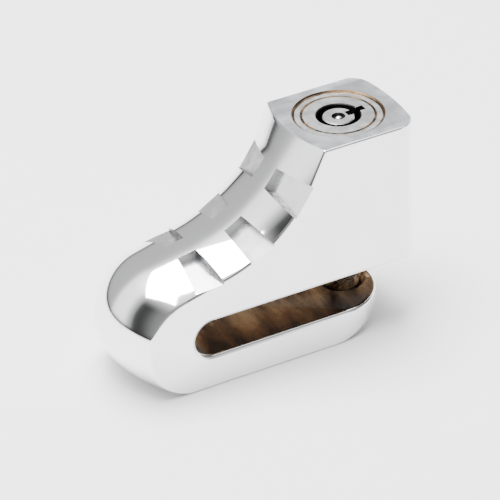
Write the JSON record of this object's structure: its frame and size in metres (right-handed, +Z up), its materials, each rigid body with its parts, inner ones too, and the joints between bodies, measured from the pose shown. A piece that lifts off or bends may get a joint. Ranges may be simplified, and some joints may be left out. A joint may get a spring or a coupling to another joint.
{
  "type": "disc brake lock",
  "caption": "Chromed boot-shaped disc brake lock with a notched instep, a long slot for the disc and a push-down bolt worked by a round key.",
  "frame": {"origin": "where the lock's axis, which is the bolt's axis, meets the flat sole", "axes": "+X from the toe to the heel, where the slot is open; +Y across the lock, towards the side that the limit pin is in; +Z up along the bolt"},
  "size_m": [0.0719, 0.025, 0.0495],
  "materials": {
    "chromed_casting": "bright chrome over polished zinc casting, flat faces satin",
    "satin_nickel": "turned, satin nickel plated",
    "plated_steel": "zinc plated",
    "spring_steel": "drawn wire, oiled",
    "hardened_steel": "ground, case hardened",
    "polished_ball": "mirror polished bearing steel",
    "brass": "turned"
  },
  "bodies": {
    "housing": {"lock_body": "chromed_casting", "limit_pin": "plated_steel", "return_spring": "spring_steel"},
    "plunger": {"plunger_sleeve": "satin_nickel", "core_barrel": "satin_nickel", "barrel_pin": "plated_steel", "bushing_pin": "brass", "tumbler_bushing": "brass", "bolt": "hardened_steel", "bolt_screw": "plated_steel", "latch_spring": "spring_steel", "driver_pin_1": "brass", "driver_pin_2": "brass", "driver_pin_3": "brass", "driver_pin_4": "brass", "driver_pin_5": "brass", "driver_pin_6": "brass", "driver_pin_7": "brass", "driver_spring_1": "spring_steel", "driver_spring_2": "spring_steel", "driver_spring_3": "spring_steel", "driver_spring_4": "spring_steel", "driver_spring_5": "spring_steel", "driver_spring_6": "spring_steel", "driver_spring_7": "spring_steel"},
    "key_spindle": {"spindle": "satin_nickel", "anti_drill_ball": "polished_ball", "cam": "plated_steel", "cam_clip": "spring_steel", "key_pin_1": "brass", "key_pin_2": "brass", "key_pin_3": "brass", "key_pin_4": "brass", "key_pin_5": "brass", "key_pin_6": "brass", "key_pin_7": "brass"},
    "latch": {"latch": "hardened_steel"}
  },
  "joints": [
    {"name": "plunger_slide", "type": "slide", "parent": "housing", "child": "plunger", "axis": [0, 0, 1], "range_m": [0, 0.0126], "deforming": ["return_spring"]},
    {"name": "key_turn", "type": "hinge", "parent": "plunger", "child": "key_spindle", "pos_m": [0, 0, 0.0391], "axis": [0, 0, -1], "range_deg": [0, 90]},
    {"name": "latch_throw", "type": "slide", "parent": "plunger", "child": "latch", "axis": [-1, 0, 0], "range_m": [0, 0.0015], "deforming": ["latch_spring"]}
  ]
}
